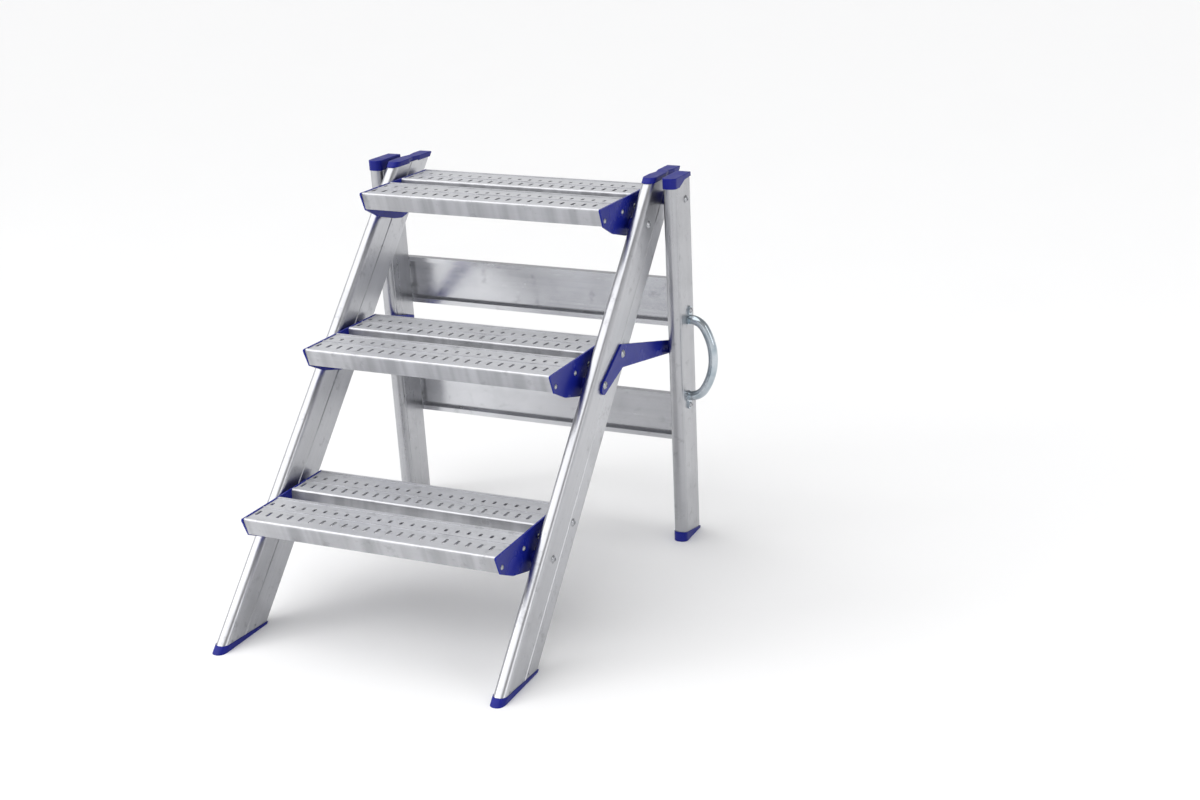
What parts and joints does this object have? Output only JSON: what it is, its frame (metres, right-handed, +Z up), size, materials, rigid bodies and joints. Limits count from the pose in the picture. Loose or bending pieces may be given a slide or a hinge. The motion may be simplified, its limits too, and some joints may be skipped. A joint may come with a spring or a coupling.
{
  "type": "folding step ladder",
  "caption": "Folding aluminium step ladder with slotted twin-plank treads, blue plastic caps and feet, blue side stays, rear crossbars and a carry handle on one rear upright.",
  "frame": {"origin": "bottom centre of the bounding box, on the floor, with the ladder open", "axes": "+Z up, +Y from the climbing side towards the rear frame, +X to the right when facing the treads, where the carry handle is"},
  "size_m": [0.6999, 0.8444, 0.737],
  "materials": {
    "stile_aluminium": "mill-finish extrusion, satin with soft lengthwise streaks",
    "tread_aluminium": "pale satin anodised extrusion",
    "blue_plastic": "moulded, semi-gloss",
    "blue_enamel": "smooth glossy powder coat",
    "plated_steel": "bright zinc plate",
    "handle_zinc": "bright bluish zinc plate"
  },
  "bodies": {
    "front_frame": {"bottom_tread_bracket_left": "blue_enamel", "bottom_tread_bracket_right": "blue_enamel", "bottom_tread_front_plank": "tread_aluminium", "bottom_tread_rear_plank": "tread_aluminium", "bracket_bushes": "blue_plastic", "foot_rivets": "plated_steel", "front_cap_left": "blue_plastic", "front_cap_right": "blue_plastic", "front_foot_left": "blue_plastic", "front_foot_right": "blue_plastic", "front_stile_left": "stile_aluminium", "front_stile_right": "stile_aluminium", "hinge_bolt_left": "plated_steel", "hinge_bolt_right": "plated_steel", "hinge_nut_left": "plated_steel", "hinge_nut_right": "plated_steel", "hinge_spacer_left": "blue_plastic", "hinge_spacer_right": "blue_plastic", "middle_tread_bracket_left": "blue_enamel", "middle_tread_bracket_right": "blue_enamel", "middle_tread_front_plank": "tread_aluminium", "middle_tread_rear_plank": "tread_aluminium", "plank_screws": "plated_steel", "stay_arm_left": "blue_enamel", "stay_arm_right": "blue_enamel", "top_tread_bracket_left": "blue_enamel", "top_tread_bracket_right": "blue_enamel", "top_tread_front_plank": "tread_aluminium", "top_tread_rear_plank": "tread_aluminium", "tread_bolt_nuts": "plated_steel", "tread_bolts": "plated_steel"},
    "rear_frame": {"carry_handle": "handle_zinc", "crossbar_lower": "stile_aluminium", "crossbar_screws": "plated_steel", "crossbar_upper": "stile_aluminium", "handle_screws": "plated_steel", "rear_cap_left": "blue_plastic", "rear_cap_right": "blue_plastic", "rear_foot_left": "blue_plastic", "rear_foot_right": "blue_plastic", "rear_stile_left": "stile_aluminium", "rear_stile_right": "stile_aluminium", "stop_pin_left": "plated_steel", "stop_pin_right": "plated_steel"}
  },
  "joints": [
    {"name": "rear_frame_fold", "type": "hinge", "parent": "front_frame", "child": "rear_frame", "pos_m": [-0.02703, 0.33407, 0.689], "axis": [-1, 0, 0], "range_deg": [0, 46]}
  ]
}
